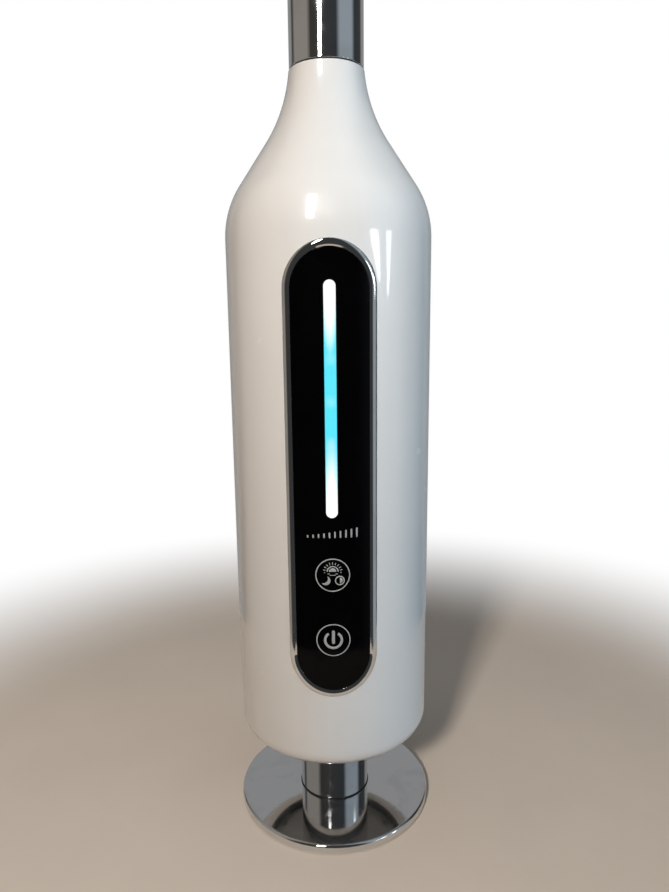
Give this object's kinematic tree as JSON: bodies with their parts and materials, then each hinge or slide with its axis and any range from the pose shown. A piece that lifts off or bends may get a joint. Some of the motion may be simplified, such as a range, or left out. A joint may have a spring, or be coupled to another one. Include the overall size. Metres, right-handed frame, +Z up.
{
  "type": "desk lamp",
  "caption": "Bottle-shaped white desk lamp on a round chrome swivel foot, with an upright black touch panel, a lit slide dimmer and a screw-in globe bulb in a chrome neck.",
  "frame": {"origin": "centre of the foot's underside, on the surface that the lamp stands on", "axes": "+Z up along the lamp, -Y towards the user: the touch panel faces -Y, the cord inlet +Y"},
  "size_m": [0.1036, 0.1036, 0.5244],
  "materials": {
    "felt": "matte",
    "chrome": "polished",
    "steel": "satin",
    "brass": "satin",
    "acetal": "satin",
    "white_body": "gloss",
    "grey_plate": "satin",
    "ballast": "matte",
    "black_glass": "gloss",
    "light_guide": "gloss",
    "black_plastic": "satin",
    "gasket": "matte",
    "circuit_board": "satin",
    "led": "gloss",
    "core": "matte",
    "copper": "satin",
    "can": "gloss",
    "aluminium": "satin",
    "green_plastic": "satin",
    "ribbon": "satin",
    "lead": "satin",
    "porcelain": "gloss",
    "nickel": "polished",
    "black_insulator": "gloss",
    "bulb_white": "gloss",
    "opal": "satin"
  },
  "bodies": {
    "foot": {"foot_pad": "felt", "foot_plate": "chrome", "foot_screws": "steel", "stem_ring": "gasket", "swivel_spigot": "steel", "friction_washer": "brass", "swivel_washer": "steel", "swivel_nut": "steel"},
    "lamp_body": {"stem_tube": "chrome", "bezel": "chrome", "neck_collar": "chrome", "bottom_screws": "steel", "ballast_screws": "steel", "panel_clips": "steel", "touch_board_screws": "steel", "chassis_bracket": "steel", "chassis_screws": "steel", "board_screws": "steel", "neck_plate": "steel", "holder_cap": "steel", "insert_screws": "steel", "tie_tube": "brass", "tie_nuts": "brass", "board_spacers": "brass", "screw_shell": "brass", "centre_contact": "brass", "swivel_bush": "acetal", "body_shell": "white_body", "bottom_plate": "grey_plate", "ballast_weight": "ballast", "touch_glass": "black_glass", "light_guide": "light_guide", "panel_carrier": "black_plastic", "holder_rim": "black_plastic", "cord_gland": "black_plastic", "gland_nut": "black_plastic", "triac": "black_plastic", "neck_gasket": "gasket", "touch_pads": "gasket", "touch_board": "circuit_board", "driver_board": "circuit_board", "slider_leds": "led", "transformer_core": "core", "transformer_coil": "copper", "capacitors": "can", "heat_sink": "aluminium", "terminal_blocks": "green_plastic", "ribbon_cable": "ribbon", "holder_leads": "lead", "holder_insert": "porcelain"},
    "bulb_foot": {"bulb_tip": "nickel", "bulb_insulator": "black_insulator"},
    "bulb": {"bulb_cap": "nickel", "bulb_skirt": "bulb_white", "bulb_led_plate": "aluminium", "bulb_leds": "led", "bulb_globe": "opal"}
  },
  "joints": [
    {"name": "body_swivel", "type": "hinge", "parent": "foot", "child": "lamp_body", "pos_m": [0, 0, 0.0054], "axis": [0, 0, 1], "continuous": true},
    {"name": "bulb_rise", "type": "slide", "parent": "lamp_body", "child": "bulb_foot", "axis": [0, 0, 1], "range_m": [0, 0.0182]},
    {"name": "bulb_turn", "type": "hinge", "parent": "bulb_foot", "child": "bulb", "pos_m": [0, 0, 0.39], "axis": [0, 0, 1], "range_deg": [0, 1800]}
  ],
  "couplings": [
    {"joint": "bulb_rise", "follows": "bulb_turn", "m_per_rad": 0.00057773}
  ]
}
